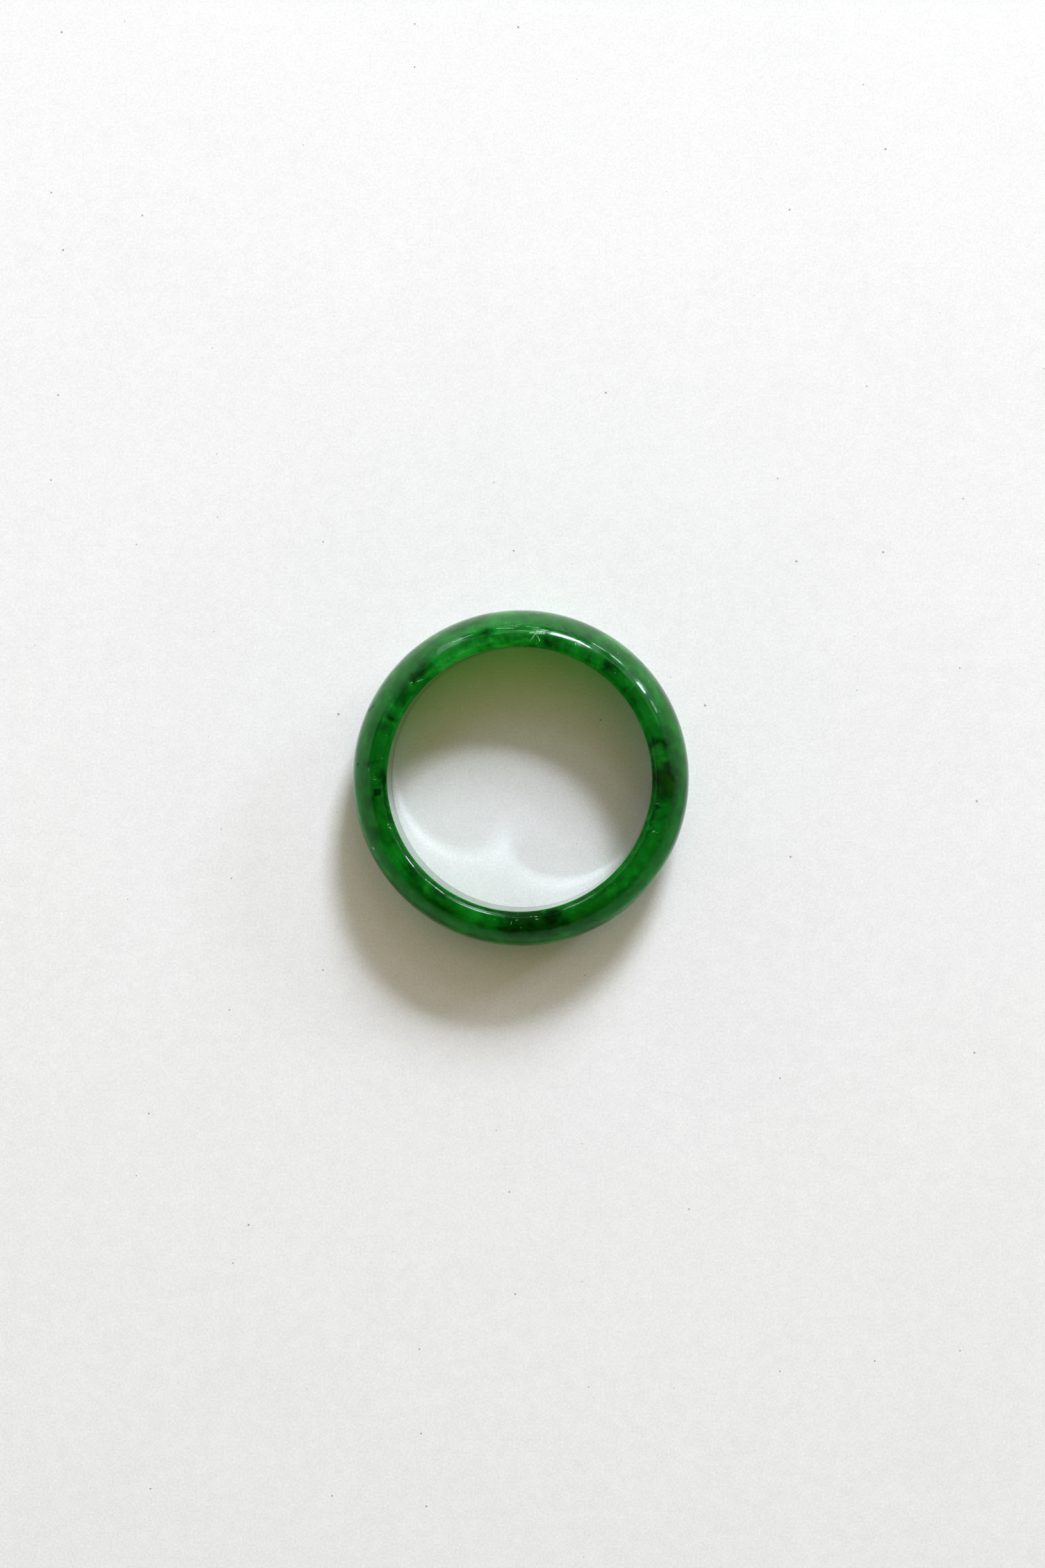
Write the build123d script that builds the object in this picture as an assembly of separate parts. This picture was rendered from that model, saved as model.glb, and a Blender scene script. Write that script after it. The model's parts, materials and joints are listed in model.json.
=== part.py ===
"""Plain jade band ring, cut and polished from one piece of stone.

The ring lies on its side, as it does on a table. The finger hole is a straight
cylinder. The outside bulges like a barrel, and rounded edges join the two at the
top and the bottom. A narrow flat land is left along the crest of each rim, where
the rough ring was ground flat before it was polished.

Millimetres, +Z up. The origin is on the finger hole's axis, in the plane that the
lower land rests on.
"""

import os

from build123d import *

# Driving dimensions
FINGER_BORE = 19.0  # diameter of the finger hole
WALL = 2.65  # from the finger hole to the widest part of the barrel
BAND_WIDTH = 6.0  # along the finger
LAND = 0.2  # width of the flat along each crest
INNER_EDGE_RADIUS = 0.55  # rounds the rim into the finger hole
SHOULDER_RADIUS = 1.0  # rounds the rim into the barrel

# Places that follow from them
HALF_WIDTH = BAND_WIDTH / 2
BORE_RADIUS = FINGER_BORE / 2
OUTER_RADIUS = BORE_RADIUS + WALL
LAND_INNER_RADIUS = BORE_RADIUS + INNER_EDGE_RADIUS
LAND_OUTER_RADIUS = LAND_INNER_RADIUS + LAND


def barrel_radius():
    """Radius of the barrel's arc, which is tangent to the shoulder's and upright at mid width."""
    out = OUTER_RADIUS - LAND_OUTER_RADIUS
    along = HALF_WIDTH - SHOULDER_RADIUS
    return (out**2 + along**2 - SHOULDER_RADIUS**2) / (2 * (out - SHOULDER_RADIUS))


def shoulder_end():
    """Point (radius, height above mid width) where the shoulder turns into the barrel."""
    barrel_centre = Vector(OUTER_RADIUS - barrel_radius(), 0)
    shoulder_centre = Vector(LAND_OUTER_RADIUS, HALF_WIDTH - SHOULDER_RADIUS)
    outwards = (shoulder_centre - barrel_centre).normalized()
    return shoulder_centre + outwards * SHOULDER_RADIUS


def upper_half_section():
    """The half of the wall's section above mid width, as a face in the XZ plane."""
    bore_top = (BORE_RADIUS, HALF_WIDTH - INNER_EDGE_RADIUS)
    land_inner = (LAND_INNER_RADIUS, HALF_WIDTH)
    land_outer = (LAND_OUTER_RADIUS, HALF_WIDTH)
    with BuildSketch(Plane.XZ) as section:
        with BuildLine():
            Line((BORE_RADIUS, 0), bore_top)
            inner_edge = TangentArc(bore_top, land_inner, tangent=(0, 1))
            Line(land_inner, land_outer)
            shoulder = TangentArc(land_outer, shoulder_end(), tangent=(1, 0))
            barrel = TangentArc(shoulder @ 1, (OUTER_RADIUS, 0), tangent=shoulder % 1)
            Line(barrel @ 1, (BORE_RADIUS, 0))
        make_face()
    print("inner edge radius", round(inner_edge.radius, 3), "barrel radius", round(barrel.radius, 3))
    return section.sketch


def band():
    """The whole ring: the section, mirrored about mid width and turned about the finger's axis."""
    upper = upper_half_section()
    section = (upper + mirror(upper, about=Plane.XY)).clean()
    ring = revolve(section, axis=Axis.Z)
    return Pos(0, 0, HALF_WIDTH) * ring


def main():
    os.makedirs("parts", exist_ok=True)
    ring = band()
    export_step(ring, "parts/jade_band.step")
    print("jade_band volume", round(ring.volume, 2), "faces", len(ring.faces()))


main()
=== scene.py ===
"""The looks of the jade band ring: polished, mottled green stone lying on white paper by a window.

Metres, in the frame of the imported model: +Z up along the finger hole, +Y to the top of the picture.
An azimuth is measured in degrees round +Z from +X. A tilt is the angle, outwards from +Z, of the way
that a point of the stone's surface faces. Lengths are in millimetres where nothing else is said.
"""

import json
import math

import bpy
import numpy as np
from mathutils import Matrix, Vector


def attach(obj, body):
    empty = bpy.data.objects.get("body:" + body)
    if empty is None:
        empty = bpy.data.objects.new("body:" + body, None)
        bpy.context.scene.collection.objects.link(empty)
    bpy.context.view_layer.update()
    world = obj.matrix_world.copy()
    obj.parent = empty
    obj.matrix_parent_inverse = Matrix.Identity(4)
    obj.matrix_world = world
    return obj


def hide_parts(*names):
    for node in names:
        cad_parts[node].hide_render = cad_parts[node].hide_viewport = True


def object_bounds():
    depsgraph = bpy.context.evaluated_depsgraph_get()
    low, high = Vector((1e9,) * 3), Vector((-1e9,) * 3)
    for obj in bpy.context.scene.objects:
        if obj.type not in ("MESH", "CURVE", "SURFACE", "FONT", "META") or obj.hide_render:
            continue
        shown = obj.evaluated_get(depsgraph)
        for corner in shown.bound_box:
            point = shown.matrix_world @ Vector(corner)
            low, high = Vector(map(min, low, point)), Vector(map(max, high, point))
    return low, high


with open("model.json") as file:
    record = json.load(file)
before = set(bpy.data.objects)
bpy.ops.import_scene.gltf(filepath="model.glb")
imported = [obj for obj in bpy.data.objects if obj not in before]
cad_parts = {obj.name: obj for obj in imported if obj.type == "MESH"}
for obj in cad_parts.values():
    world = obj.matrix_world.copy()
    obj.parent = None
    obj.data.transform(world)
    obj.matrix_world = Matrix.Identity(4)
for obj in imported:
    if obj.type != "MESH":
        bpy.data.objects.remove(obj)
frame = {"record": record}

MM = 0.001
NODE = "jade_band"
BODY = "root"

cad_low, cad_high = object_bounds()

# The ring's section, read from the frame
mounts = {mount["name"]: mount for mount in frame["record"]["mounts"]}
bore_radius = mounts["finger_hole"]["dims"]["r_mm"]
outer_radius = cad_high.x / MM
band_width = cad_high.z / MM
inner_edge = (band_width - mounts["finger_hole"]["dims"]["length_mm"]) / 2
land_middle = mounts["lower_rim"]["pos_m"][0] / MM
land_inner = bore_radius + inner_edge
land_outer = 2 * land_middle - land_inner
shoulder = 1.0  # radius of the edge between land and barrel

# The camera, as the picture was taken: nearly straight above, leaning to the upper right
CAMERA_DISTANCE = 274.3  # from mid width
CAMERA_LEAN = (2.3, 1.9)  # degrees towards +X and +Y
PICTURE_OFFSET = (-0.131, 0.420)  # how far the ring lies from the middle of the picture
SENSOR = 36.0  # along the picture's height
LENS = 87.13


def direction(azimuth, elevation=0):
    """The unit vector towards an azimuth and an elevation, both in degrees."""
    azimuth, elevation = math.radians(azimuth), math.radians(elevation)
    level = math.cos(elevation)
    return Vector((level * math.cos(azimuth), level * math.sin(azimuth), math.sin(elevation)))


def make_camera():
    lean_x, lean_y = (math.tan(math.radians(angle)) for angle in CAMERA_LEAN)
    back = Vector((lean_x, lean_y, 1)).normalized()
    right = Vector((0, 1, 0)).cross(back).normalized()
    up = back.cross(right)
    target = Vector((0, 0, band_width / 2))
    place = target + back * CAMERA_DISTANCE - right * PICTURE_OFFSET[0] - up * PICTURE_OFFSET[1]
    data = bpy.data.cameras.new("camera")
    data.sensor_width = SENSOR
    data.lens = LENS
    data.clip_start = 0.01
    data.clip_end = 20
    camera = bpy.data.objects.new("camera", data)
    turn = Matrix((right, up, back)).transposed().to_4x4()
    camera.matrix_world = Matrix.Translation(place * MM) @ turn
    bpy.context.scene.collection.objects.link(camera)
    bpy.context.scene.camera = camera


# Clouds in the stone, charted one by one. Azimuth and radius give the place on the upper side. The half
# sizes run along the band and across it. Tone is darker below 0 and lighter above, warm is towards
# yellow-brown, and smoke is towards grey.
# A few rows are painted light and painted shade along the inner edge, marked where they stand.
CLOUDS = [
    # azimuth, radius, along, across, tone, warm, smoke
    # left side
    (193, 10.65, 0.25, 0.20, -0.15, 0.6, 0.0),
    (186, 9.68, 1.30, 0.22, -0.50, 0.0, 0.0),
    (189, 11.05, 0.45, 0.35, -0.05, 0.6, 0.1),
    (186.8, 10.65, 0.20, 0.35, -0.25, 0.0, 0.0),
    (181, 9.72, 0.55, 0.22, -0.50, 0.1, 0.0),
    (180, 10.05, 0.60, 0.24, -0.42, 0.0, 0.0),
    (178, 11.60, 1.20, 0.45, -0.05, 0.0, 0.4),
    (177.7, 9.97, 0.30, 0.20, 0.25, 0.1, 0.0),
    (175, 11.00, 0.35, 0.14, 0.20, 0.1, 0.1),
    (173.6, 10.70, 0.24, 0.50, -0.45, 0.0, 0.0),
    (166, 10.45, 0.30, 0.25, -0.15, 0.0, 0.0),
    (163.7, 11.20, 0.10, 0.40, -0.15, 0.0, 0.3),
    (163.6, 11.35, 0.60, 0.22, 0.20, 0.0, 0.0),
    (158, 10.15, 0.30, 0.50, -0.20, 0.0, 0.0),
    (150, 9.66, 1.60, 0.22, 0.35, 0.0, 0.2),
    (150, 10.00, 1.20, 0.14, -0.18, 0.0, 0.0),
    (157.5, 11.35, 0.50, 0.30, -0.15, 0.0, 0.4),
    (155.5, 10.35, 0.26, 0.20, 0.26, 0.0, 0.1),
    (154.0, 9.93, 0.18, 0.34, -0.95, 0.0, 0.0),
    (150, 11.40, 3.00, 0.60, 0.12, 0.0, 0.0),
    (144.5, 10.30, 0.60, 0.45, -0.45, 0.0, 0.0),
    (140.5, 10.95, 0.50, 0.60, -0.15, 0.2, 0.4),
    (141, 10.60, 0.45, 0.20, -0.25, 0.0, 0.1),
    (136.3, 10.50, 0.30, 0.25, -0.30, 0.0, 0.0),
    (137.8, 10.42, 0.36, 0.22, 0.90, 0.3, 0.3),
    # top left
    (135, 11.35, 0.90, 0.80, -0.05, 0.2, 0.4),
    (133.2, 10.42, 0.76, 0.34, -0.95, 0.2, 0.0),
    (128.7, 10.98, 0.26, 0.14, -0.35, 0.0, 0.0),
    (113.5, 10.22, 0.85, 0.22, -0.20, 0.0, 0.0),
    (112, 9.98, 0.90, 0.14, -0.32, 0.0, 0.0),
    (127.5, 11.40, 0.50, 0.40, -0.18, 0.0, 0.1),
    (104.5, 11.15, 0.30, 0.25, -0.22, 0.0, 0.0),
    (99.8, 10.92, 0.30, 0.12, -0.35, 0.0, 0.0),
    (132.7, 9.68, 0.22, 0.14, -0.45, 0.0, 0.0),
    (130.0, 10.90, 0.20, 0.32, -0.35, 0.6, 0.0),
    (128.5, 11.60, 0.70, 0.16, -0.25, 0.0, 0.4),
    (129, 11.12, 0.28, 0.12, -0.50, 0.0, 0.1),
    (120, 11.45, 3.00, 0.60, 0.04, 0.0, 0.0),
    (112, 10.00, 2.70, 0.50, 0.45, 0.0, 0.1),
    (121, 9.70, 2.20, 0.30, 0.85, 0.0, 0.4),
    (103.8, 10.33, 0.50, 0.42, -0.85, 0.0, 0.0),
    (103, 9.95, 0.70, 0.25, -0.30, 0.0, 0.0),
    (112.4, 11.60, 0.60, 0.30, -0.35, 0.1, 0.5),
    (108, 10.90, 0.40, 0.16, -0.20, 0.0, 0.0),
    (104, 10.85, 0.40, 0.22, -0.45, 0.0, 0.0),
    (105, 11.40, 0.40, 0.30, 0.10, 0.0, 0.2),
    (97, 11.45, 1.60, 0.50, 0.28, 0.0, 0.2),
    (98, 10.25, 0.25, 0.15, -0.15, 0.0, 0.0),
    (92, 10.75, 1.30, 0.24, 0.25, 0.0, 0.4),
    (89.5, 10.40, 0.70, 0.22, 0.25, 0.0, 0.2),
    (90, 9.98, 1.00, 0.12, -0.18, 0.0, 0.0),
    # painted light: the inner edge lighter by the window, for daylight coming through the stone
    (150, 9.51, 1.60, 0.25, 0.30, 0.0, 0.0),
    (118, 9.51, 2.00, 0.28, 0.50, 0.0, 0.0),
    (98, 9.51, 2.20, 0.28, 0.60, 0.0, 0.0),
    (60, 9.51, 2.20, 0.25, 0.22, 0.0, 0.0),
    (30, 9.51, 2.20, 0.25, 0.22, 0.0, 0.0),
    # top right
    (92, 9.70, 2.40, 0.22, 0.62, 0.0, 0.0),
    (84.0, 10.45, 0.60, 0.36, 0.50, 0.0, 0.4),
    (84.5, 9.65, 0.30, 0.14, -0.40, 0.0, 0.0),
    (79, 11.45, 0.45, 0.30, -0.15, 0.0, 0.1),
    (72, 11.11, 2.20, 0.07, -0.50, 0.0, 0.0),
    (69, 11.22, 0.60, 0.25, -0.20, 0.0, 0.1),
    (79, 10.20, 0.30, 0.25, -0.20, 0.0, 0.0),
    (73.6, 10.20, 0.32, 0.22, -0.35, 0.0, 0.0),
    (77.8, 9.98, 0.70, 0.38, -0.70, 0.0, 0.0),
    (72.2, 10.10, 0.22, 0.30, 0.12, 0.0, 0.1),
    (68, 10.27, 0.50, 0.20, 0.35, 0.0, 0.1),
    (62.5, 10.25, 0.60, 0.18, 0.15, 0.0, 0.0),
    (55, 10.22, 0.35, 0.18, 0.20, 0.0, 0.0),
    (69.5, 9.95, 0.35, 0.32, -0.30, 0.0, 0.0),
    (65.0, 9.80, 0.60, 0.25, 0.20, 0.0, 0.0),
    (60.7, 9.95, 0.17, 0.38, -0.40, 0.0, 0.0),
    (58, 9.66, 1.60, 0.20, 0.25, 0.0, 0.0),
    (51, 10.25, 0.50, 0.45, -0.80, 0.0, 0.0),
    (51.5, 11.82, 1.20, 0.16, -0.35, 0.0, 0.2),
    (46, 9.95, 0.60, 0.25, -0.20, 0.0, 0.0),
    (38.5, 11.30, 0.60, 0.25, -0.20, 0.0, 0.1),
    (31, 11.15, 0.45, 0.28, -0.25, 0.0, 0.1),
    (38, 10.02, 1.00, 0.12, -0.25, 0.0, 0.0),
    (26, 10.25, 0.60, 0.22, 0.12, 0.0, 0.1),
    (40.6, 9.90, 0.16, 0.60, -0.30, 0.0, 0.0),
    (37, 10.40, 0.25, 0.30, -0.25, 0.0, 0.0),
    (34.3, 9.87, 0.35, 0.25, -0.40, 0.0, 0.0),
    # right side
    (18, 11.25, 0.55, 0.40, -0.35, 0.1, 0.2),
    (14.5, 10.35, 0.45, 0.80, -0.58, 0.1, 0.0),
    (13.8, 10.90, 0.22, 0.80, -0.30, 0.1, 0.0),
    (11.2, 10.05, 0.30, 0.50, 0.35, 0.5, 0.5),
    (11.5, 10.85, 0.28, 0.25, -0.10, 0.7, 0.0),
    (7.0, 10.50, 0.25, 0.45, 0.55, 0.3, 0.6),
    (-0.5, 10.40, 1.15, 0.80, -0.80, 0.2, 0.1),
    (2.0, 10.25, 0.60, 0.70, -0.40, 0.1, 0.0),
    (0, 9.75, 0.90, 0.35, -0.40, 0.1, 0.0),
    (1, 10.85, 1.30, 0.65, -0.42, 0.0, 0.1),
    (3, 11.60, 1.50, 0.60, -0.30, 0.0, 0.8),
    (-2.5, 10.90, 0.60, 0.32, -0.50, 0.6, 0.0),
    (-6, 11.30, 0.90, 0.28, -0.45, 0.2, 0.1),
    (-10, 12.00, 3.40, 0.20, -0.70, 0.0, 0.3),
    (-10.6, 10.35, 0.14, 0.35, -0.45, 0.0, 0.0),
    (-15, 11.15, 0.60, 0.12, -0.50, 0.0, 0.1),
    (-17, 9.82, 0.80, 0.15, 0.45, 0.1, 0.0),
    (-25.5, 11.12, 0.50, 0.10, -0.35, 0.0, 0.1),
    (-14, 10.75, 0.35, 0.38, -0.40, 0.0, 0.0),
    (-6.5, 10.60, 0.35, 0.80, -0.18, 0.0, 0.0),
    (-9.6, 10.30, 0.12, 0.50, 0.30, 0.0, 0.3),
    (-13, 9.85, 0.50, 0.30, -0.40, 0.0, 0.0),
    (-19, 10.00, 1.50, 0.13, -0.40, 0.0, 0.0),
    (-33, 9.97, 0.45, 0.12, -0.35, 0.0, 0.0),
    (-35, 10.75, 0.30, 0.20, -0.15, 0.6, 0.0),
    (-39.5, 11.25, 0.80, 0.35, 0.38, 0.0, 0.0),
    (-37.4, 10.45, 0.45, 0.28, 0.20, 0.0, 0.0),
    (-40, 9.74, 0.80, 0.10, -0.30, 0.0, 0.0),
    (-45, 10.80, 0.40, 0.30, -0.20, 0.0, 0.0),
    (-50, 10.55, 0.35, 0.20, 0.15, 0.0, 0.0),
    (-59, 10.12, 1.20, 0.14, -0.30, 0.0, 0.0),
    (-60, 9.70, 1.50, 0.22, -0.42, 0.2, 0.1),
    (-60, 10.60, 0.90, 0.50, -0.20, 0.1, 0.0),
    (-63, 11.50, 0.60, 0.25, 0.25, 0.0, 0.0),
    (-45, 10.30, 3.00, 0.60, 0.15, 0.0, 0.0),
    (-46, 10.00, 1.20, 0.20, -0.35, 0.0, 0.0),
    (-56, 10.60, 0.80, 0.40, -0.15, 0.2, 0.0),
    (-45, 10.85, 0.45, 0.16, -0.30, 0.0, 0.0),
    (-52, 10.00, 0.35, 0.12, -0.20, 0.0, 0.0),
    # bottom
    (-66, 10.85, 0.45, 0.30, -0.05, 0.8, 0.0),
    (-72, 10.85, 0.50, 0.28, -0.45, 0.2, 0.0),
    (-71.5, 10.55, 0.50, 0.25, -0.30, 0.1, 0.0),
    (-77, 10.80, 0.50, 0.30, -0.35, 0.1, 0.0),
    (-73, 10.15, 0.35, 0.20, -0.50, 0.0, 0.0),
    # painted shade: the lower left inner edge darkened along its length, at -87 also a dark cloud
    (-87, 9.68, 1.80, 0.26, -1.00, 0.0, 0.6),
    (-105, 9.65, 1.80, 0.24, -0.60, 0.0, 0.2),
    (-125, 9.65, 1.80, 0.24, -0.55, 0.0, 0.2),
    (-145, 9.65, 1.80, 0.24, -0.50, 0.1, 0.2),
    (-165, 9.65, 1.80, 0.24, -0.40, 0.1, 0.1),
    (-65, 11.55, 1.10, 0.60, -0.40, 0.3, 0.8),
    (-77, 10.10, 0.55, 0.35, -0.95, 0.1, 0.0),
    (-80, 11.30, 1.80, 0.60, -0.40, 0.1, 0.6),
    (-85, 10.50, 1.40, 0.60, -0.85, 0.2, 0.0),
    (-94, 10.80, 0.70, 0.40, -0.50, 0.4, 0.0),
    (-90, 11.50, 1.60, 0.60, -0.26, 0.1, 0.3),
    (-104.5, 10.85, 0.35, 0.25, -0.30, 0.0, 0.0),
    (-106.5, 11.80, 0.40, 0.20, -0.30, 0.6, 0.2),
    (-108, 10.45, 1.20, 0.45, 0.20, 0.0, 0.1),
    (-97, 10.12, 0.50, 0.15, -0.40, 0.0, 0.0),
    (-96, 10.55, 0.45, 0.30, -0.25, 0.0, 0.0),
    (-113, 10.72, 0.50, 0.20, 0.15, 0.0, 0.0),
    (-107, 10.75, 0.35, 0.20, -0.20, 0.0, 0.0),
    (-118, 10.45, 0.38, 0.40, -0.35, 0.0, 0.0),
    (-120, 11.75, 1.00, 0.50, -0.42, 0.1, 0.6),
    (-122, 10.75, 1.10, 0.30, -0.40, 0.0, 0.0),
    (-130, 10.33, 0.20, 0.32, 0.60, 0.7, 0.5),
    (-142.5, 10.68, 0.30, 0.25, 0.18, 0.0, 0.0),
    (-132.5, 10.65, 0.35, 0.30, -0.30, 0.0, 0.0),
    (-140, 10.10, 0.60, 0.25, -0.50, 0.0, 0.0),
    (-153.5, 10.30, 0.20, 0.25, -0.30, 0.0, 0.0),
    (-150, 10.80, 1.40, 0.28, 0.50, 0.1, 0.0),
    (-150, 10.35, 0.90, 0.20, 0.22, 0.0, 0.1),
    (-158, 11.65, 1.20, 0.40, -0.15, 0.1, 0.7),
    (-160, 11.10, 0.50, 0.60, -0.30, 0.4, 0.2),
    (-165, 10.75, 0.45, 0.32, 0.05, 0.8, 0.0),
    (-171, 10.15, 0.40, 0.22, -0.10, 0.5, 0.0),
]
CLOUD_DEPTH = 1.6  # how far a cloud reaches below the surface, and on down the inner wall

# The one small patch with straight sides, at the left: azimuth, radius, along, across, tone
SQUARE_PATCH = (185.2, 10.20, 0.25, 0.27, -0.70)
PATCH_EDGE = 6  # power that squares it off

# Marks in the polish and just below it, and last one painted highlight. Each runs from one azimuth
# and radius to another, and the same place twice makes a speck.
PALE_MARKS = [
    # azimuth, radius, azimuth, radius, half width, strength
    # the feather near the window, and what is round it
    (83.7, 10.47, 84.6, 10.16, 0.024, 0.7),
    (84.6, 10.16, 85.7, 9.86, 0.026, 0.6),
    (83.7, 10.47, 82.3, 10.26, 0.026, 0.7),
    (82.3, 10.26, 81.5, 10.02, 0.030, 0.8),
    (81.5, 10.02, 82.8, 9.81, 0.024, 0.5),
    (83.9, 10.40, 84.1, 10.15, 0.020, 0.4),
    (84.6, 10.16, 84.3, 10.02, 0.018, 0.4),
    (82.6, 9.82, 82.6, 9.51, 0.018, 0.5),
    (85.8, 10.52, 83.0, 10.58, 0.080, 0.40),
    (83.6, 10.52, 80.4, 10.60, 0.110, 0.40),
    (83.2, 10.68, 80.2, 10.70, 0.060, 0.45),
    (81.6, 10.80, 79.0, 10.84, 0.050, 0.45),
    (67.6, 10.56, 67.2, 10.44, 0.035, 0.5),
    # scratches beside it
    (98.5, 10.91, 95.0, 10.85, 0.022, 0.7),
    (95.0, 10.85, 92.0, 10.82, 0.022, 0.6),
    (97.5, 10.98, 93.0, 11.02, 0.016, 0.6),
    (93.0, 11.02, 89.5, 11.05, 0.016, 0.5),
    (87.5, 10.95, 82.5, 10.96, 0.018, 0.45),
    (94.5, 10.90, 90.0, 10.93, 0.016, 0.4),
    # the left side
    (138.2, 10.36, 137.8, 10.34, 0.035, 0.9),
    (136.2, 10.14, 134.8, 9.93, 0.018, 0.8),
    (135.6, 10.08, 133.6, 9.90, 0.020, 0.4),
    (180.0, 10.21, 180.0, 10.45, 0.018, 0.6),
    (179.0, 10.28, 179.1, 10.40, 0.014, 0.4),
    (177.0, 10.79, 175.8, 10.83, 0.020, 0.4),
    (171.3, 9.93, 171.3, 9.93, 0.034, 0.6),
    (161.7, 9.98, 161.7, 9.98, 0.030, 0.6),
    # the window side
    (95.0, 11.24, 95.0, 11.24, 0.036, 0.6),
    (97.0, 11.69, 97.0, 11.69, 0.032, 0.7),
    (76.0, 9.81, 75.2, 9.81, 0.026, 0.7),
    (76.0, 9.66, 75.4, 9.66, 0.022, 0.5),
    (72.5, 11.98, 72.5, 11.98, 0.040, 0.7),
    (83.0, 10.98, 83.0, 10.98, 0.040, 0.7),
    (60.6, 10.29, 60.6, 10.29, 0.032, 0.7),
    (57.4, 11.65, 57.4, 11.65, 0.030, 0.6),
    (52.0, 11.45, 52.0, 11.45, 0.048, 1.0),
    (55.0, 9.83, 55.0, 9.83, 0.034, 0.7),
    (48.0, 10.26, 48.0, 10.26, 0.034, 0.7),
    (37.5, 11.65, 37.0, 11.60, 0.030, 0.5),
    (34.0, 9.81, 34.0, 9.81, 0.034, 0.5),
    # the right side
    (-9.8, 10.10, -9.8, 9.90, 0.020, 0.3),
    (-21.0, 10.62, -21.0, 10.32, 0.022, 0.5),
    (-20.4, 10.30, -21.6, 10.26, 0.024, 0.5),
    (-43.4, 11.79, -43.4, 11.79, 0.038, 0.8),
    (-47.5, 10.17, -47.5, 10.17, 0.030, 0.4),
    # the bottom
    (-68.5, 11.91, -69.5, 11.93, 0.026, 0.4),
    (-82.2, 10.10, -83.1, 10.06, 0.030, 0.5),
    (-84.9, 9.86, -85.2, 9.86, 0.034, 0.5),
    (-82.4, 9.90, -83.6, 9.88, 0.030, 0.6),
    (-89.2, 10.62, -89.6, 10.59, 0.034, 0.7),
    (-90.5, 10.05, -91.3, 10.10, 0.032, 0.5),
    (-93.0, 10.20, -93.2, 10.42, 0.024, 0.5),
    (-90.5, 9.62, -90.5, 9.62, 0.040, 0.5),
    (-96.7, 9.93, -96.7, 9.93, 0.036, 0.7),
    (-99.8, 10.17, -99.8, 10.17, 0.032, 0.6),
    (-146.0, 10.55, -146.0, 10.55, 0.030, 0.4),
    (-154.9, 11.65, -154.4, 11.66, 0.095, 1.0),
    (-159.0, 9.86, -159.8, 9.92, 0.040, 0.5),
    (-160.6, 9.98, -161.2, 9.90, 0.036, 0.4),
    # painted highlight: a stretch of the inner edge's line of light at the lower left, as pale stone
    (-123.5, 9.785, -128.5, 9.775, 0.065, 0.60),
    (-128.5, 9.775, -133.0, 9.80, 0.055, 0.45),
]
DARK_MARKS = [
    # azimuth, radius, azimuth, radius, half width, strength
    (156.2, 11.98, 155.2, 11.91, 0.120, 1.0),
    (155.2, 11.91, 153.6, 11.77, 0.110, 1.0),
    (175.2, 11.78, 174.6, 11.68, 0.100, 1.0),
    (154.0, 10.81, 154.0, 10.81, 0.050, 0.6),
    (135.0, 11.81, 135.0, 11.81, 0.050, 0.6),
    (44.0, 12.06, 43.2, 12.05, 0.100, 1.0),
    (30.3, 11.91, 29.8, 11.90, 0.080, 0.8),
    (-2.0, 11.94, -4.0, 11.87, 0.080, 0.9),
    (-9.0, 12.05, -9.6, 12.04, 0.090, 0.8),
    (-13.0, 11.79, -13.0, 11.79, 0.050, 0.5),
    (-45.0, 11.91, -45.4, 11.90, 0.045, 0.7),
    (-50.3, 11.65, -51.8, 11.55, 0.040, 0.7),
    (-60.0, 11.74, -63.0, 11.36, 0.050, 0.8),
    (-79.0, 11.86, -79.4, 11.86, 0.045, 0.6),
]

COLUMNS = 900
ARC_STEPS = (9, 15, 22, 20, 14, 9, 7)  # along each arc of the section, in the order of section_rows
FINE_TILT = -40  # degrees: from here to the crest, the rows on the inner edge lie closer together
WALL_STEPS = 10


def section_rows():
    """The section as rows of (radius, height, tilt in radians), from the top of the bore, over the
    crest and the barrel, and round to the top of the bore again. The last point isn't repeated."""
    half = band_width / 2
    out, along = outer_radius - land_outer, half - shoulder
    barrel = (out**2 + along**2 - shoulder**2) / (2 * (out - shoulder))
    barrel_middle = outer_radius - barrel
    join = math.atan2(land_outer - barrel_middle, along)
    quarter, fine = math.pi / 2, math.radians(FINE_TILT)
    arcs = [
        # middle radius, middle height, arc radius, first tilt, last tilt
        (land_inner, band_width - inner_edge, inner_edge, -quarter, fine),
        (land_inner, band_width - inner_edge, inner_edge, fine, 0),
        (land_outer, band_width - shoulder, shoulder, 0, join),
        (barrel_middle, half, barrel, join, quarter),
        (barrel_middle, half, barrel, quarter, math.pi - join),
        (land_outer, shoulder, shoulder, math.pi - join, math.pi),
        (land_inner, inner_edge, inner_edge, math.pi, 3 * quarter),
    ]
    rows = []
    for (radius, height, size, first, last), steps in zip(arcs, ARC_STEPS):
        for tilt in np.linspace(first, last, steps + 1):
            row = (radius + size * math.sin(tilt), height + size * math.cos(tilt), tilt)
            if not rows or math.dist(row[:2], rows[-1][:2]) > 1e-6:
                rows.append(row)
    for height in np.linspace(inner_edge, band_width - inner_edge, WALL_STEPS + 1)[1:-1]:
        rows.append((bore_radius, height, 3 * quarter))
    return np.array(rows)


def lathe(section):
    """Points and outward directions of the plain turned ring, each as (columns, rows, 3)."""
    angle = np.radians(np.arange(COLUMNS) * 360 / COLUMNS)[:, None]
    radius, height, tilt = section.T
    flat = np.ones_like(angle)
    places = np.stack([radius * np.cos(angle), radius * np.sin(angle), height * flat], -1)
    facing = [np.sin(tilt) * np.cos(angle), np.sin(tilt) * np.sin(angle), np.cos(tilt) * flat]
    return places, np.stack(facing, -1)


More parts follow.
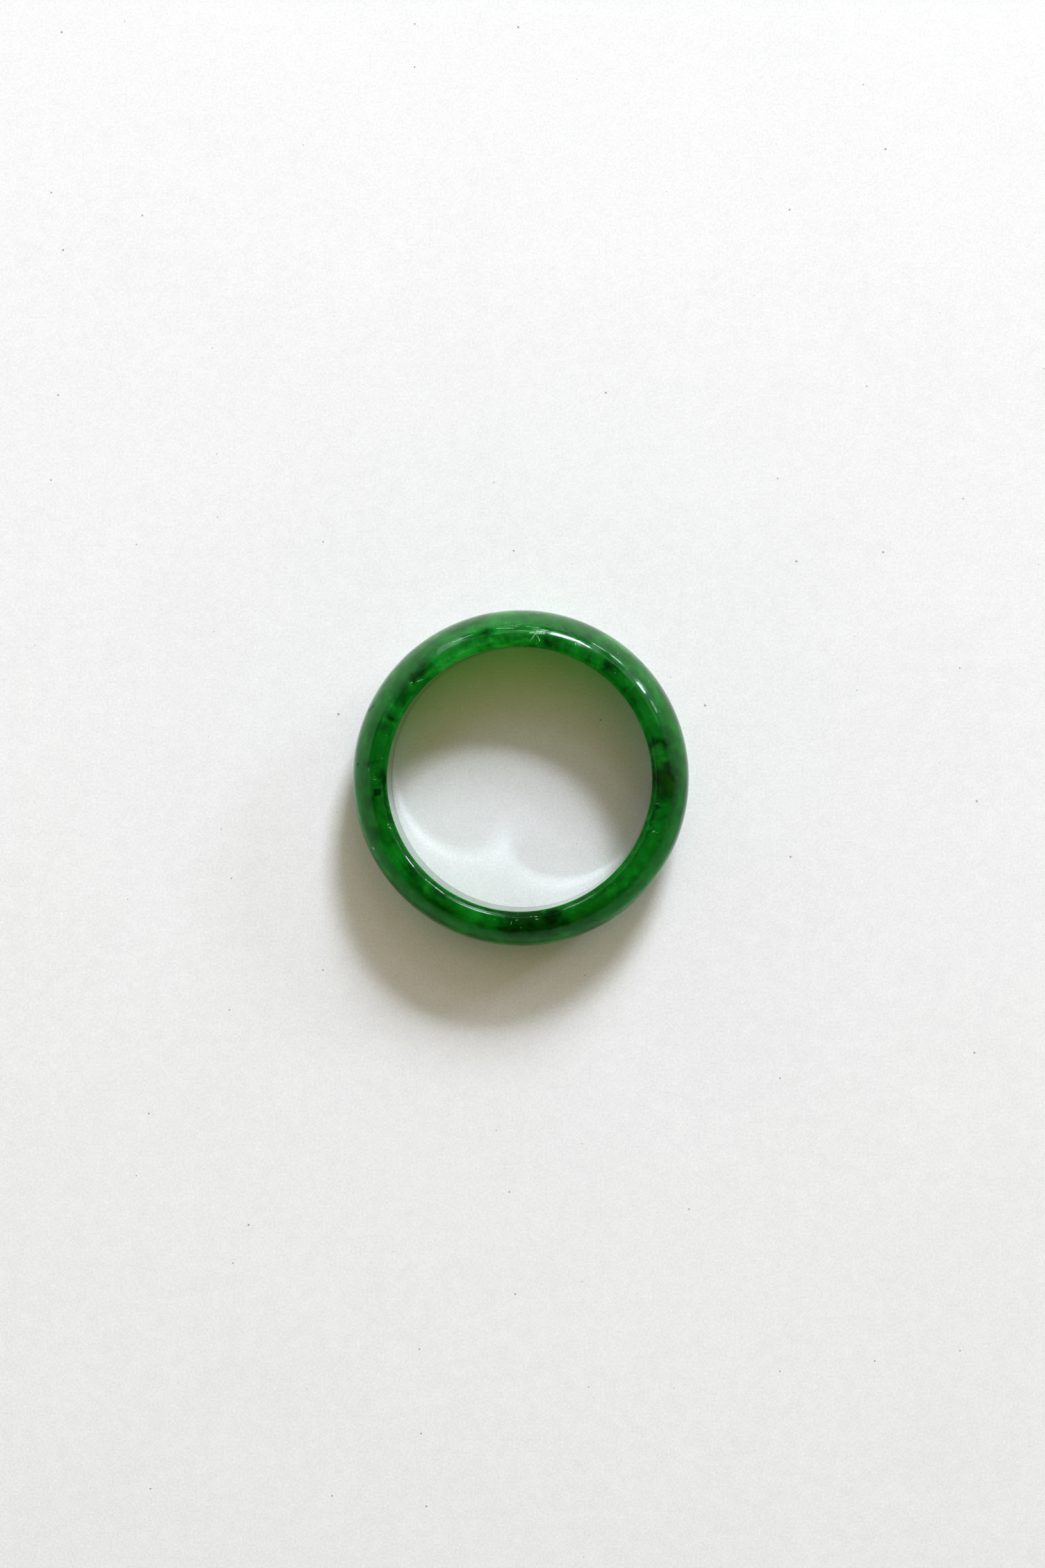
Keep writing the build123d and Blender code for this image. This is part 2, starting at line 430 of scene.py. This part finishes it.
def waves(places, length, seed, count=24):
    """A smooth random field over the points, about -1 to 1, whose waves are about this long."""
    random = np.random.default_rng(seed)
    ways = random.normal(size=(count, 3))
    ways /= np.linalg.norm(ways, axis=1, keepdims=True)
    lengths = length * random.uniform(0.7, 1.5, count)
    phases = random.uniform(0, 2 * np.pi, count)
    rows = zip(ways, lengths, phases)
    total = sum(np.sin(2 * np.pi / long * (places @ way) + phase) for way, long, phase in rows)
    return total / math.sqrt(count)


def warped(places):
    """The points, shifted at random, so that what is drawn from them has ragged outlines."""
    shifts = [(2.4, 0.12), (0.9, 0.10), (0.35, 0.05)]  # length of the waves, and how far they shift
    moved = places.copy()
    for number, (length, reach) in enumerate(shifts):
        for axis in range(3):
            moved[..., axis] += reach * waves(places, length, 10 * number + axis)
    return moved


def upper_point(section, azimuth, radius):
    """The point of the upper side at an azimuth and a distance from the axis, with its tilt."""
    upper = section[: int(np.argmax(section[:, 0])) + 1]
    height = np.interp(radius, upper[:, 0], upper[:, 1])
    tilt = np.interp(radius, upper[:, 0], upper[:, 2])
    angle = math.radians(azimuth)
    return np.array((radius * math.cos(angle), radius * math.sin(angle), height)), tilt


def cloud_weight(places, section, azimuth, radius, along, across, power=1):
    """How much of a cloud each point holds, from 0 to 1."""
    middle, tilt = upper_point(section, azimuth, radius)
    angle = math.radians(azimuth)
    ways = np.array(
        [
            (-math.sin(angle), math.cos(angle), 0),
            (math.cos(tilt) * math.cos(angle), math.cos(tilt) * math.sin(angle), -math.sin(tilt)),
            (math.sin(tilt) * math.cos(angle), math.sin(tilt) * math.sin(angle), math.cos(tilt)),
        ]
    )
    shares = (places - middle) @ (ways / np.array((along, across, CLOUD_DEPTH))[:, None]).T
    return np.exp(-(np.abs(shares) ** (2 * power)).sum(-1))


HIDDEN_FROM = 5.2  # height below which random clouds take over from the charted ones
HIDDEN_FADE = 2.5  # how far below that they have taken over in full


def stone_fields(section, places):
    """Tone, warmth and smoke at each point: the charted clouds, among them bands of painted light and
    shade on the inner edge, and random ones where none are.
    """
    moved = warped(places)
    fields = np.zeros(places.shape[:2] + (3,))
    for azimuth, radius, along, across, *amounts in CLOUDS:
        weight = cloud_weight(moved, section, azimuth, radius, along, across)
        fields += weight[..., None] * np.array(amounts)
    azimuth, radius, along, across, tone = SQUARE_PATCH
    patch = cloud_weight(places, section, azimuth, radius, along, across, PATCH_EDGE)
    fields[..., 0] += tone * patch
    # 0 on the upper side, 1 on the inner wall, the lower half and the foot
    hidden = np.clip((HIDDEN_FROM - places[..., 2]) / HIDDEN_FADE, 0, 1)
    fields[..., 0] += hidden * 0.5 * waves(moved, 3.2, 101)
    fields[..., 0] += (0.10 + 0.15 * hidden) * waves(moved, 1.3, 102)
    fields[..., 1] += hidden * np.clip(waves(moved, 2.6, 103) - 0.8, 0, 1)
    fields[..., 2] += hidden * np.clip(waves(moved, 3.0, 104) - 0.6, 0, 1) * 0.6
    return fields


RIPPLE = 0.004  # depth of the slow unevenness that hand polishing leaves
RIPPLE_LENGTH = 3.2
CHIP_TILTS = (32, 37, 43, 49)  # degrees: where the chips along the shoulder start and end
# Tilts and heights of the fine ridge where two strokes of the polishing meet along the inner edge
RIDGE_LINE = ((-60, -30.5, -25.5, -22.5, -17.5, 0), (0, -0.0192, -0.0032, 0.0066, 0.015, 0))
EDGE_TILTS = (-34.5, -31.5)  # degrees: where the less polished part of the inner edge starts
EDGE_REACH = 0.4  # how far down the inner wall it goes on
CALM_TILTS = (-80, -50, 50, 78)  # degrees: full mottling within the inner two, faint beyond the outer two


def make_stone(material):
    section = section_rows()
    places, facing = lathe(section)
    fields = stone_fields(section, places)
    tilts = np.degrees(section[:, 2])
    tilts = np.minimum(tilts, 180 - tilts)  # alike above and below mid width
    ripple = RIPPLE * (waves(places, RIPPLE_LENGTH, 201) / 2 - 1)
    ripple = np.clip(ripple, -2 * RIPPLE, 0) + np.interp(tilts, *RIDGE_LINE)
    places = places + facing * ripple[..., None]
    index = np.arange(COLUMNS * len(section)).reshape(COLUMNS, len(section))
    beside = np.roll(index, -1, 0)
    faces = np.stack([index, beside, np.roll(beside, -1, 1), np.roll(index, -1, 1)], -1).reshape(-1, 4)
    mesh = bpy.data.meshes.new("stone")
    mesh.from_pydata((places.reshape(-1, 3) * MM).tolist(), [], faces.tolist())
    mesh.polygons.foreach_set("use_smooth", [True] * len(mesh.polygons))
    chips = np.interp(tilts, CHIP_TILTS, (0, 1, 1, 0))
    calm = np.interp(tilts, CALM_TILTS, (1, 0, 0, 1))
    edge = np.interp(tilts, EDGE_TILTS, (1, 0))
    wall_end = band_width / 2 - inner_edge
    edge *= np.interp(np.abs(section[:, 1] - band_width / 2), (wall_end - EDGE_REACH, wall_end), (0, 1))
    named = {"tone": fields[..., 0], "warm": fields[..., 1], "smoke": fields[..., 2]}
    for name, values in (("chips", chips), ("calm", calm), ("edge", edge)):
        named[name] = np.broadcast_to(values, places.shape[:2])
    for name, values in named.items():
        attribute = mesh.attributes.new(name, "FLOAT", "POINT")
        attribute.data.foreach_set("value", values.astype(np.float32).ravel())
    mesh.update()
    mesh.materials.append(material)
    stone = bpy.data.objects.new("stone", mesh)
    bpy.context.scene.collection.objects.link(stone)
    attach(stone, BODY)
    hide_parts(NODE)


class Nodes:
    """Short calls for adding nodes to a tree. A value is a socket, a number or a tuple."""

    def __init__(self, tree):
        self.tree = tree

    def add(self, kind, values=None, **settings):
        node = self.tree.nodes.new(kind)
        for name, value in settings.items():
            setattr(node, name, value)
        for name, value in (values or {}).items():
            if isinstance(value, bpy.types.NodeSocket):
                self.tree.links.new(value, node.inputs[name])
            else:
                node.inputs[name].default_value = value
        return node

    def math(self, operation, *values, clamp=False):
        node = self.add("ShaderNodeMath", dict(enumerate(values)), operation=operation, use_clamp=clamp)
        return node.outputs[0]

    def vector(self, operation, *values, output=0, **named):
        node = self.add("ShaderNodeVectorMath", dict(enumerate(values)) | named, operation=operation)
        return node.outputs[output]

    def noise(self, places, scale, detail=3.0, rough=0.5, seed=0.0):
        values = {"Vector": places, "W": seed, "Scale": scale, "Detail": detail, "Roughness": rough}
        node = self.add("ShaderNodeTexNoise", values, noise_dimensions="4D")
        return node.outputs["Fac"]

    def spread(self, value, low, high, to_low=0.0, to_high=1.0, smooth=False):
        values = {"Value": value, 1: low, 2: high, 3: to_low, 4: to_high}
        kind = "SMOOTHSTEP" if smooth else "LINEAR"
        return self.add("ShaderNodeMapRange", values, interpolation_type=kind).outputs[0]

    def mix(self, factor, first, second):
        node = self.add("ShaderNodeMix", data_type="RGBA")
        for name, value in (("Factor_Float", factor), ("A_Color", first), ("B_Color", second)):
            socket = next(item for item in node.inputs if item.identifier == name)
            if isinstance(value, bpy.types.NodeSocket):
                self.tree.links.new(value, socket)
            else:
                socket.default_value = value
        return next(item for item in node.outputs if item.identifier == "Result_Color")

    def ramp(self, value, stops):
        node = self.add("ShaderNodeValToRGB", {"Fac": value})
        elements = node.color_ramp.elements
        while len(elements) < len(stops):
            elements.new(1)
        for element, (place, colour) in zip(elements, stops):
            element.position = place
            element.color = colour + (1,)
        return node.outputs["Color"]

    def shaken(self, places, scale, reach, seed):
        """The places, moved at random by up to this reach, so that what is drawn from them is uneven."""
        values = {"Vector": places, "W": seed, "Scale": scale, "Detail": 2.0}
        random = self.add("ShaderNodeTexNoise", values, noise_dimensions="4D").outputs["Color"]
        shift = self.vector("SCALE", self.vector("SUBTRACT", random, (0.5, 0.5, 0.5)), Scale=2 * reach)
        return self.vector("ADD", places, shift)

    def line(self, places, start, end, half_width, strength):
        """The strength along the straight line between two points, and 0 beyond its half width."""
        along = Vector(end) - Vector(start)
        offset = self.vector("SUBTRACT", places, tuple(start))
        if along.length > 0:
            scaled = tuple(along / along.length_squared)
            share = self.vector("DOT_PRODUCT", offset, scaled, output="Value")
            share = self.math("MINIMUM", self.math("MAXIMUM", share, 0.0), 1.0)
            nearest = self.vector("SCALE", tuple(along), Scale=share)
            offset = self.vector("SUBTRACT", offset, nearest)
        distance = self.vector("LENGTH", offset, output="Value")
        return self.spread(distance, 0.3 * half_width, half_width, strength, 0, smooth=True)

    def attribute(self, name):
        return self.add("ShaderNodeAttribute", attribute_name=name).outputs["Fac"]

    def places(self):
        """The object's own coordinates in millimetres."""
        source = self.add("ShaderNodeTexCoord").outputs["Object"]
        return self.vector("SCALE", source, Scale=1 / MM)

    def part(self, vector, axis):
        return self.add("ShaderNodeSeparateXYZ", {"Vector": vector}).outputs[axis]


# The stone's green, from its darkest clouds to its palest
TONES = [
    (0.0, (0.0003, 0.006, 0.0008)),
    (0.2, (0.0005, 0.022, 0.0018)),
    (0.5, (0.0028, 0.085, 0.0065)),
    (0.75, (0.0075, 0.175, 0.0180)),
    (1.0, (0.0280, 0.310, 0.0570)),
]
WARM_GREEN = (0.016, 0.075, 0.001, 1)
SMOKE_GREEN = (0.014, 0.060, 0.017, 1)
PALE_MARK = (0.62, 0.82, 0.66, 1)
DARK_MARK = (0.0010, 0.0040, 0.0010, 1)
UNDULATION = 0.0017  # depth of the unevenness in the polish
CHIP = 0.010  # depth of a chip
STONE_GLOSS = 0.5
EDGE_GLOSS = 0.15  # share of it that the less polished part of the inner edge keeps
STONE_GLOSS_TINT = (0.42, 0.5, 0.46, 1)
LIGHT_REACH = (0.5, 8.0, 0.5)  # how far red, green and blue light travel in the stone


def marks(nodes, places, section, table):
    """How much of a mark each place holds."""
    total = 0.0
    for first_azimuth, first_radius, last_azimuth, last_radius, half_width, strength in table:
        first = upper_point(section, first_azimuth, first_radius)[0]
        last = upper_point(section, last_azimuth, last_radius)[0]
        total = nodes.math("MAXIMUM", total, nodes.line(places, first, last, half_width, strength))
    return total


def jade_material():
    material = bpy.data.materials.new("jade")
    material.use_nodes = True
    nodes = Nodes(material.node_tree)
    shader = material.node_tree.nodes["Principled BSDF"]
    section = section_rows()
    places = nodes.places()
    flat = nodes.vector("MULTIPLY", places, (1, 1, 0))
    outwards = nodes.vector("NORMALIZE", flat)
    radius = nodes.vector("LENGTH", flat, output="Value")
    # grows from the crest out to the barrel
    across = nodes.math("SUBTRACT", radius, nodes.part(places, "Z"))

    mottle = nodes.noise(nodes.shaken(places, 0.8, 0.5, 5.0), 0.9, 5, 0.62, 1.0)
    grain = nodes.noise(places, 5.0, 5, 0.7, 2.0)
    fibres = nodes.noise(outwards, 26.0, 4, 0.6, nodes.math("MULTIPLY", across, 0.7))
    rings = nodes.noise(outwards, 3.0, 3, 0.6, nodes.math("MULTIPLY", across, 6.0))
    tone = nodes.math("MULTIPLY_ADD", nodes.attribute("tone"), 0.5, 0.5)
    liveliness = nodes.spread(nodes.attribute("calm"), 0, 1, 1.0, 0.35)
    for layer, amount in ((mottle, 0.38), (grain, 0.32), (fibres, 0.25), (rings, 0.18)):
        change = nodes.math("MULTIPLY", nodes.math("SUBTRACT", layer, 0.5), amount)
        tone = nodes.math("MULTIPLY_ADD", change, liveliness, tone)
    colour = nodes.ramp(tone, TONES)
    warm = nodes.math("MULTIPLY", nodes.attribute("warm"), nodes.spread(mottle, 0.3, 0.7), clamp=True)
    colour = nodes.mix(warm, colour, WARM_GREEN)
    smoke = nodes.math("MULTIPLY", nodes.attribute("smoke"), nodes.spread(grain, 0.2, 0.8), clamp=True)
    colour = nodes.mix(smoke, colour, SMOKE_GREEN)

    rough_places = nodes.shaken(places, 7.0, 0.035, 3.0)
    broken = nodes.spread(nodes.noise(places, 11.0, 3, 0.6, 4.0), 0.36, 0.56)
    pale = nodes.math("MULTIPLY", marks(nodes, rough_places, section, PALE_MARKS), broken)
    dark = marks(nodes, rough_places, section, DARK_MARKS)
    # pale marks; the last is a painted highlight on the inner edge
    colour = nodes.mix(pale, colour, PALE_MARK)
    colour = nodes.mix(dark, colour, DARK_MARK)
    material.node_tree.links.new(colour, shader.inputs["Base Color"])

    patches = nodes.spread(nodes.noise(places, 0.7, 2, 0.5, 6.0), 0.42, 0.62)
    chips = nodes.spread(nodes.noise(places, 8.0, 3, 0.7, 7.0), 0.56, 0.68)
    chips = nodes.math("MULTIPLY", chips, nodes.math("MULTIPLY", nodes.attribute("chips"), patches))
    edge = nodes.attribute("edge")
    worn = nodes.spread(grain, 0.35, 0.75, 0.05, 0.09)
    worn = nodes.math("MULTIPLY_ADD", edge, 0.20, worn)
    worn = nodes.math("MULTIPLY_ADD", chips, 0.30, worn)
    worn = nodes.math("MULTIPLY_ADD", pale, 0.35, worn)
    material.node_tree.links.new(worn, shader.inputs["Roughness"])
    gloss = nodes.spread(dark, 0, 1, STONE_GLOSS, 0)
    gloss = nodes.math("MULTIPLY", gloss, nodes.spread(edge, 0, 1, 1, EDGE_GLOSS))
    material.node_tree.links.new(gloss, shader.inputs["Specular IOR Level"])

    wavy = nodes.noise(places, 1.3, 4, 0.55, 8.0)
    undulation = nodes.add("ShaderNodeBump", {"Height": wavy, "Distance": UNDULATION * MM})
    chipped = {"Height": chips, "Distance": CHIP * MM, "Normal": undulation.outputs["Normal"]}
    chipped = nodes.add("ShaderNodeBump", chipped, invert=True)
    material.node_tree.links.new(chipped.outputs["Normal"], shader.inputs["Normal"])

    shader.inputs["IOR"].default_value = 1.5
    shader.inputs["Specular Tint"].default_value = STONE_GLOSS_TINT
    shader.subsurface_method = "RANDOM_WALK"
    shader.inputs["Subsurface Weight"].default_value = 1
    shader.inputs["Subsurface Radius"].default_value = LIGHT_REACH
    shader.inputs["Subsurface Scale"].default_value = MM
    return material


PAPER_WHITE = (0.88, 0.89, 0.88, 1)
PAPER_ROUGHNESS = 0.6
PAPER_GLOSS = 0.15
PAPER_IN_POLISH = (0.30, 0.75, 0.36)  # how bright the paper is in the stone's polish, in hole and shadow
GLARE_AZIMUTH = 95  # towards the window, where the polish shows it in full
GLARE_FADE = (-0.3, 0.9)  # cosines of the angles from there at which it is darkest and brightest
SHADE_OUTSIDE = 4  # how far outside the ring that darkness is full
SHADE_INSIDE = (1.2, 0.5)  # how far from the inner wall it is full, and where it ends
# painted light: the paper brighter at the top of the picture, towards the window, darker at the bottom
PAPER_FADE = 0.07  # how much brighter it is at the top of the picture, and darker at the bottom
PAPER_FADE_REACH = 60  # how far up and down the paper that goes on
PAPER_GRAIN = 0.012  # depth
SPECK_DARK = (0.25, 0.24, 0.22, 1)
SPECK_SIZE = 0.085  # radius of the largest
SPECKS = 0.15  # cells of the paper to a millimetre, each with one speck in it at most
SPECKLESS = 0.3  # share of the cells that have none
SPECK_STRENGTH = 0.8


def paper_material():
    material = bpy.data.materials.new("paper")
    material.use_nodes = True
    nodes = Nodes(material.node_tree)
    shader = material.node_tree.nodes["Principled BSDF"]
    places = nodes.places()
    fibres = nodes.noise(places, 6.0, 2, 0.9, 1.0)
    relief = nodes.noise(places, 1.1, 4, 0.6, 3.0)
    clouds = nodes.noise(places, 0.12, 3, 0.5, 2.0)
    up_picture = nodes.part(places, "Y")
    # painted light: brighter towards the window, with the paper's grain on it
    light = nodes.spread(up_picture, -PAPER_FADE_REACH, PAPER_FADE_REACH, 1 - PAPER_FADE, 1 + PAPER_FADE)
    for layer, amount in ((fibres, 0.50), (relief, 0.12), (clouds, 0.04)):
        light = nodes.math("MULTIPLY_ADD", nodes.math("SUBTRACT", layer, 0.5), amount, light)
    colour = nodes.vector("SCALE", PAPER_WHITE[:3], Scale=light)
    values = {"Vector": places, "Scale": SPECKS}
    cells = nodes.add("ShaderNodeTexVoronoi", values, voronoi_dimensions="2D")
    size = nodes.spread(nodes.part(cells.outputs["Color"], "X"), SPECKLESS, 1)
    reach = nodes.math("MULTIPLY", size, SPECK_SIZE * SPECKS)
    speck = nodes.math("LESS_THAN", cells.outputs["Distance"], reach)
    colour = nodes.mix(nodes.math("MULTIPLY", speck, SPECK_STRENGTH), colour, SPECK_DARK)
    far = nodes.vector("LENGTH", places, output="Value")
    glare = tuple(direction(GLARE_AZIMUTH))
    side = nodes.vector("DOT_PRODUCT", nodes.vector("NORMALIZE", places), glare, output="Value")
    outside = nodes.spread(far, outer_radius, outer_radius + SHADE_OUTSIDE)
    outside = nodes.math("MULTIPLY", outside, nodes.spread(side, *GLARE_FADE, 1, 0))
    inside = nodes.spread(far, *(bore_radius - gap for gap in SHADE_INSIDE), 1, 0)
    # painted reflection: the paper darker only in the stone's polish, in the hole and away from the
    # window
    in_polish = nodes.add("ShaderNodeLightPath").outputs["Is Glossy Ray"]
    in_polish = nodes.math("MULTIPLY", in_polish, nodes.math("ADD", outside, inside))
    colour = nodes.mix(in_polish, colour, nodes.vector("MULTIPLY", colour, PAPER_IN_POLISH))
    material.node_tree.links.new(colour, shader.inputs["Base Color"])
    bump = nodes.add("ShaderNodeBump", {"Height": relief, "Distance": PAPER_GRAIN * MM})
    material.node_tree.links.new(bump.outputs["Normal"], shader.inputs["Normal"])
    shader.inputs["Roughness"].default_value = PAPER_ROUGHNESS
    shader.inputs["Specular IOR Level"].default_value = PAPER_GLOSS
    return material


FLOOR_HALF = 800.0  # half a side of the paper


def make_floor():
    size = FLOOR_HALF * MM
    corners = [(x * size, y * size, 0) for x, y in ((-1, -1), (1, -1), (1, 1), (-1, 1))]
    mesh = bpy.data.meshes.new("paper")
    mesh.from_pydata(corners, [], [(0, 1, 2, 3)])
    mesh.materials.append(paper_material())
    paper = bpy.data.objects.new("paper", mesh)
    bpy.context.scene.collection.objects.link(paper)


# What shines on the ring, as panels of sky: their edges in degrees, and how bright they are against
# the paper. Some only light the scene, and a gleam only shows in the polish.
WINDOWS = [
    # name, azimuths, elevations, radiance, what it does
    ("main_core", 63, 79, 33, 37.5, 88, "both"),
    ("main_left", 79, 83, 33, 39, 17, "both"),
    ("main_lower", 66, 80, 25, 33, 45, "both"),
    ("main_foot", 70, 80, 14, 25, 7, "both"),
    ("main_upper", 62, 79, 37.5, 40, 6.4, "both"),
    ("head_left", 79, 95, 40, 50, 4.4, "both"),
    ("head_right", 45, 62, 38, 50, 2.2, "light"),
    ("high_right", 30, 60, 50, 64, 0.6, "light"),
    ("left_wall", 112, 160, 20, 60, 0.56, "both"),
    ("side_window", 31, 41, 17, 26, 19.5, "light"),
    ("main_gleam", 72.5, 80.5, 37.5, 46.5, 50, "gleam"),
    ("right_gleam", 62.5, 72.5, 37.5, 42, 34, "gleam"),
    ("lower_gleam", 67, 80, 29, 33, 30, "gleam"),
    ("upper_gleam", 64, 80, 45, 52, 4, "gleam"),
    ("upper_fade", 58, 82, 52, 60, 1.4, "gleam"),
    ("upper_patch", 67, 69.2, 44, 64, 10, "gleam"),
    ("upper_wall", 20, 58, 24, 45, 1.15, "gleam"),
    ("strip_wall", 58.8, 63, 4, 46, 2.6, "gleam"),
    ("feather_haze", 80.5, 87, 10, 30, 3.2, "gleam"),
    ("left_haze", 86, 104, 36, 62, 1.1, "gleam"),
    ("side_gleam", 34.0, 39.8, 3.5, 15.5, 42, "gleam"),
    ("side_top", 35, 40.8, -0.4, 1.2, 20, "gleam"),
    ("slot_gleam", 48.2, 54.4, -0.4, 2.2, 30, "gleam"),
    ("strip_gleam", 56.6, 63, -0.4, 1.8, 20, "gleam"),
    ("far_gleam", 25.5, 30.5, 2, 7.5, 9, "gleam"),
    ("left_pane", 114.5, 126, -0.4, 40, 3.6, "gleam"),
    ("left_gleam", 111, 119, 6, 14.5, 11, "gleam"),
    ("pale_wall", 41, 46.6, 0, 44, 1.3, "gleam"),
    ("left_low", 126, 158, -0.4, 20, 0.8, "gleam"),
    ("left_far", 158, 176, -0.4, 9, 0.8, "gleam"),
    ("left_end", 176, 200, -0.4, 36, 0.55, "gleam"),
    ("right_low", 0, 24.5, -0.4, 26, 0.4, "gleam"),
]
WINDOW_COLOUR = (0.95, 1.0, 1.16)
WINDOW_DISTANCE = 3.0  # metres


def make_lamp(name, place, way, width, height, colour, radiance):
    """A flat lamp that faces back against this way. Its place and size are in metres."""
    data = bpy.data.lights.new(name, "AREA")
    data.shape = "RECTANGLE"
    data.size = width
    data.size_y = height
    data.color = colour
    data.energy = radiance * data.size * data.size_y * math.pi
    lamp = bpy.data.objects.new(name, data)
    lamp.location = place
    lamp.rotation_euler = way.to_track_quat("Z", "Y").to_euler()
    lamp.visible_camera = False
    bpy.context.scene.collection.objects.link(lamp)
    return lamp


def make_window(name, first, last, low, high, radiance, kind):
    elevation = (low + high) / 2
    way = direction((first + last) / 2, elevation)
    reach = 2 * WINDOW_DISTANCE
    width = reach * math.cos(math.radians(elevation)) * math.tan(math.radians((last - first) / 2))
    height = reach * math.tan(math.radians((high - low) / 2))
    lamp = make_lamp(name, way * WINDOW_DISTANCE, way, width, height, WINDOW_COLOUR, radiance)
    lamp.visible_diffuse = kind != "gleam"
    lamp.visible_glossy = kind != "light"


GLOW_COLOUR = (0.20, 1.0, 0.10)
GLOW_BANDS = [(0.02, 5.2, 0.15), (1.5, 5.2, 0.20)]  # heights from and to, and radiance
GLOW_SPAN = (0, 180)  # the azimuths of the inner wall that daylight comes through
GLOW_MIDDLE = 98  # where it is brightest
GLOW_FALL = 0.85  # how fast it fades to both sides of that
GLOW_STEP = 6
GLOW_GAP = 0.015  # from the wall


def make_glow(low, high, radiance):
    """The green light that comes through the stone by the window, as lamps on the inner wall."""
    radius = bore_radius - GLOW_GAP
    middle = Vector((0, 0, (low + high) / 2))
    width = 2 * radius * math.tan(math.radians(GLOW_STEP / 2)) * MM
    height = (high - low) * MM
    for azimuth in range(GLOW_SPAN[0] + GLOW_STEP // 2, GLOW_SPAN[1], GLOW_STEP):
        way = direction(azimuth)
        place = (way * radius + middle) * MM
        share = math.cos(math.radians(azimuth - GLOW_MIDDLE) * GLOW_FALL)
        lamp = make_lamp("glow", place, way, width, height, GLOW_COLOUR, radiance * share)
        lamp.visible_glossy = False


FILL_ALL_ROUND = (0.04, 0.04, 0.01)
FILL_LOW = (1.55, 1.62, 1.15)  # near the horizon
FILL_BY_WINDOW = (0.80, 0.52, 0.28)
FILL_AZIMUTH, FILL_ELEVATION = 71, 70  # where the bright upper part of the room is
FILL_EDGE = 0.8  # cosine of the angle from there at which it ends
LOW_HEIGHTS = (0.2, 0.4)  # sines of the elevations between which the light near the horizon fades
GLOSS_ALL_ROUND = 0.02
GLOSS_BY_WINDOW = 0.15
GLOSS_COLOUR = (0.5, 1.0, 0.6)
HORIZON = (0.80, 0.81, 0.815, 1)


def make_world():
    """The room: dim warm light, most of it from above the window and from near the horizon. It is
    darker in the stone's polish, and plain paper white where the camera sees past the floor."""
    world = bpy.data.worlds.new("room")
    world.use_nodes = True
    nodes = Nodes(world.node_tree)
    way = tuple(direction(FILL_AZIMUTH, FILL_ELEVATION))
    towards = nodes.add("ShaderNodeTexCoord").outputs["Generated"]
    nearness = nodes.vector("DOT_PRODUCT", towards, way, output="Value")
    bright = nodes.spread(nearness, FILL_EDGE, 1.0, smooth=True)
    path = nodes.add("ShaderNodeLightPath")
    low = nodes.spread(nodes.part(towards, "Z"), *LOW_HEIGHTS, 1.0, 0.0, smooth=True)
    by_window = nodes.vector("SCALE", FILL_BY_WINDOW, Scale=bright)
    by_horizon = nodes.vector("SCALE", FILL_LOW, Scale=low)
    fill = nodes.vector("ADD", nodes.vector("ADD", by_window, by_horizon), FILL_ALL_ROUND)
    gloss = nodes.math("MULTIPLY_ADD", bright, GLOSS_BY_WINDOW, GLOSS_ALL_ROUND)
    in_polish = nodes.vector("SCALE", GLOSS_COLOUR, Scale=gloss)
    colour = nodes.mix(path.outputs["Is Glossy Ray"], fill, in_polish)
    colour = nodes.mix(path.outputs["Is Camera Ray"], colour, HORIZON)
    background = world.node_tree.nodes["Background"]
    world.node_tree.links.new(colour, background.inputs["Color"])
    bpy.context.scene.world = world


def set_picture():
    """Plain colours, and reflections of the window as sharp as the polish makes them."""
    scene = bpy.context.scene
    scene.view_settings.view_transform = "Standard"
    scene.cycles.use_denoising = True
    scene.cycles.blur_glossy = 0


make_camera()
make_stone(jade_material())
make_floor()
for window in WINDOWS:
    make_window(*window)
for band in GLOW_BANDS:
    make_glow(*band)
make_world()
set_picture()
